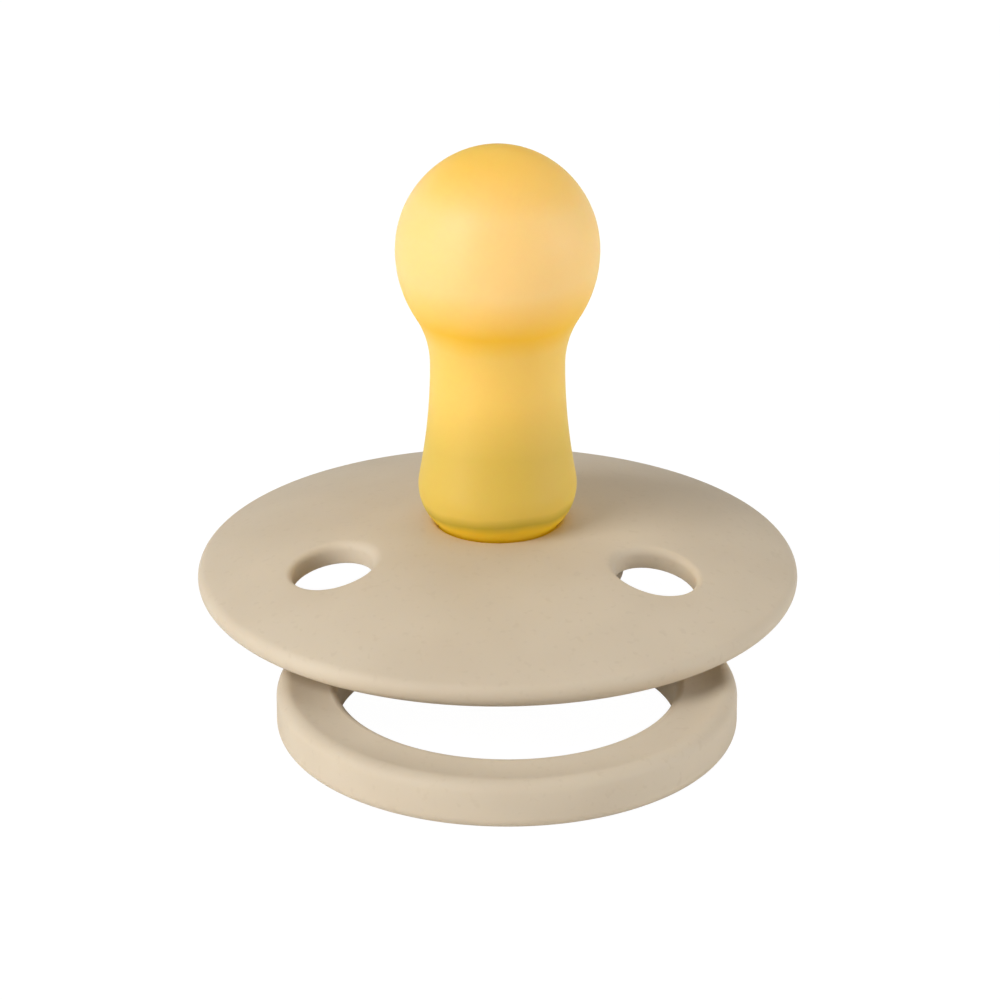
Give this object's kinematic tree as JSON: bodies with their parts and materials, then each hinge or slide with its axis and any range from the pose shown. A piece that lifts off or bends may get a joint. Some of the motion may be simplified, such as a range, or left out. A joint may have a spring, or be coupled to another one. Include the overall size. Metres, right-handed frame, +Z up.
{
  "type": "soother",
  "caption": "Baby soother with a round-bulb latex teat, a domed round shield with vent holes, a rear knob and a swinging ring handle.",
  "frame": {"origin": "middle of the knob's flat foot, on the teat's axis", "axes": "+Z up along the teat towards its tip, -Y towards the folded ring handle, +X along the bar that the ring turns on"},
  "size_m": [0.043, 0.0516, 0.0382],
  "materials": {
    "natural_latex": "translucent matte natural rubber",
    "matte_shell": "fine matte moulded polypropylene, warm beige"
  },
  "bodies": {
    "mouthpiece": {"teat": "natural_latex", "shield": "matte_shell", "plug": "matte_shell", "knob": "matte_shell"},
    "ring": {"ring_handle": "matte_shell"}
  },
  "joints": [
    {"name": "ring_swing", "type": "hinge", "parent": "mouthpiece", "child": "ring", "pos_m": [0, 0, 0.00225], "axis": [1, 0, 0], "range_deg": [-2.8, 180.8]}
  ]
}
